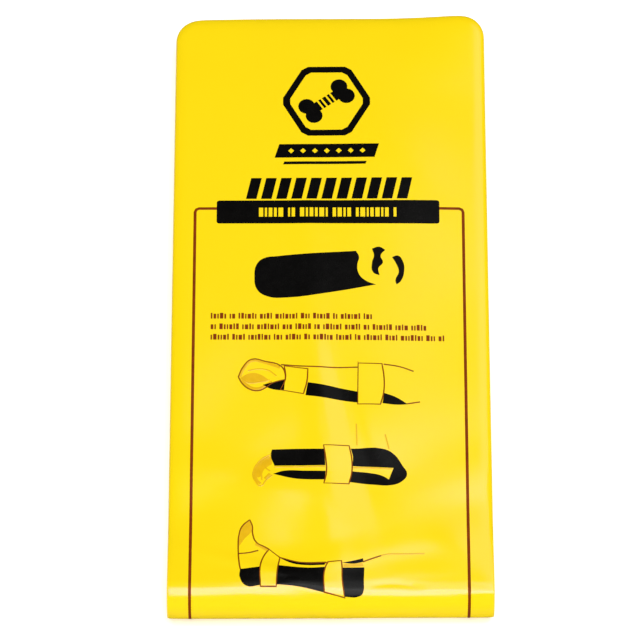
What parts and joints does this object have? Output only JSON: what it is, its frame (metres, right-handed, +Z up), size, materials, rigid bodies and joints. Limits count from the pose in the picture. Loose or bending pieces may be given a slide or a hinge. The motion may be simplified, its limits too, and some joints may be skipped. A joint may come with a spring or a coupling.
{
  "type": "folding splint",
  "caption": "Malleable first-aid splint: a long padded foam strip with rounded ends, folded double at its middle into two flat leaves, printed on the outside.",
  "frame": {"origin": "on the surface the splint lies on, under the centre of the folded strip", "axes": "+Y towards the free ends, so the fold faces -Y; +Z up through the two leaves; +X to the right as the print is read"},
  "size_m": [0.11, 0.23, 0.016],
  "materials": {
    "outer_foam": "bright yellow closed-cell foam with a smooth, slightly glossy skin",
    "inner_foam": "plain yellow closed-cell foam, a little duller than the printed side",
    "ink": "black screen-printing ink on the outer foam"
  },
  "bodies": {
    "root": {"outer_foam_sheet": "outer_foam", "inner_foam_sheet": "inner_foam"}
  },
  "joints": []
}
